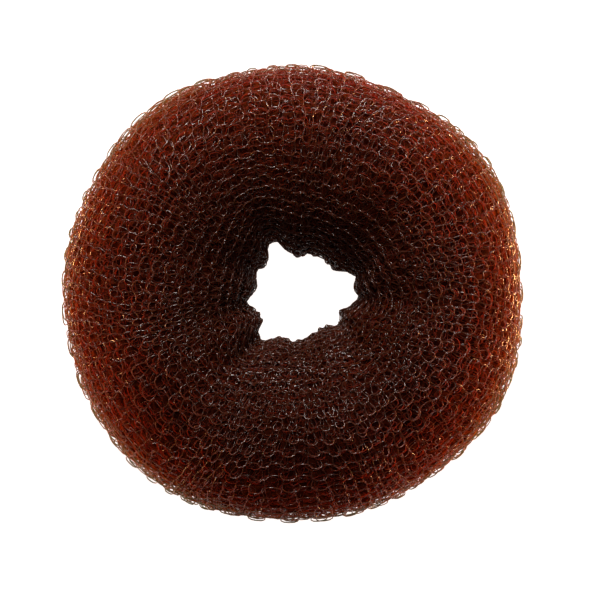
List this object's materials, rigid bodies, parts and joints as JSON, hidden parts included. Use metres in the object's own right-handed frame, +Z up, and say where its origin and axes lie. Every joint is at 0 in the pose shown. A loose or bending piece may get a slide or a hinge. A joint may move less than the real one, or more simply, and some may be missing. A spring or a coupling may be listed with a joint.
{
  "type": "hair donut bun maker",
  "caption": "Soft rolled net ring that rests flat; a ponytail is drawn through its hole and spread over it to shape a round bun.",
  "frame": {"origin": "centre of the ring, on the surface that it rests on", "axes": "+Z up along the ring's axis, out of the hole; +Y towards the top of the picture and +X to its right"},
  "size_m": [0.0897, 0.0886, 0.034],
  "materials": {
    "net": "open plain-knit nylon net in dark red-brown, springy, with a faint gloss on each filament"
  },
  "bodies": {
    "root": {"rolled_net": "net"}
  },
  "joints": []
}
